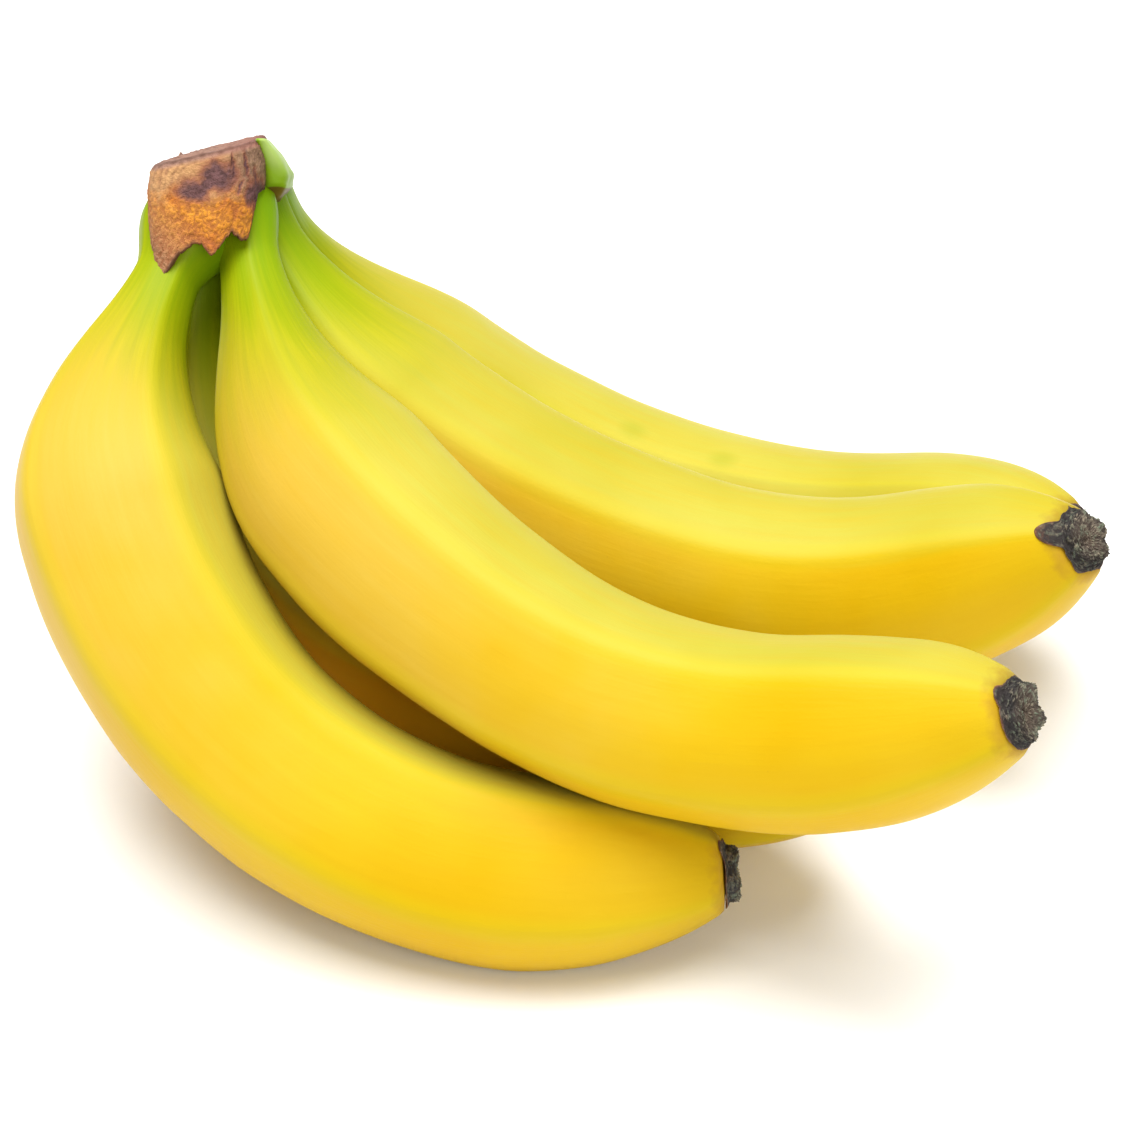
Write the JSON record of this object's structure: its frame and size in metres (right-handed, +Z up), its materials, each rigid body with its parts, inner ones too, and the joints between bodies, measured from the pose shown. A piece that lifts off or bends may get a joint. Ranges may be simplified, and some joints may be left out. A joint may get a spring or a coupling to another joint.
{
  "type": "bunch of bananas",
  "caption": "Bunch of ripe yellow bananas joined at a cut brown crown, lying on its bellies, with dark dried blossom ends.",
  "frame": {"origin": "on the table, at the middle of the bunch's footprint", "axes": "+Z up from the table; +X from the crown's end to the dried ends, along the bunch's longest extent; -Y towards the open side from which the fingers' fan is seen"},
  "size_m": [0.2109, 0.173, 0.1104],
  "materials": {
    "peel": "ripe yellow banana peel, waxy satin, greener towards the neck",
    "blossom_end": "dry, rough, brown-black",
    "crown_cork": "dried, corky, matte, with dark patches",
    "green_skin": "green skin, satin"
  },
  "bodies": {
    "root": {"finger_front": "peel", "finger_middle": "peel", "finger_upper": "peel", "finger_back": "peel", "finger_inner": "peel", "tip_front": "blossom_end", "tip_middle": "blossom_end", "tip_upper": "blossom_end", "tip_back": "blossom_end", "tip_inner": "blossom_end", "crown_cushion": "crown_cork", "crown_shoulder": "green_skin"}
  },
  "joints": []
}
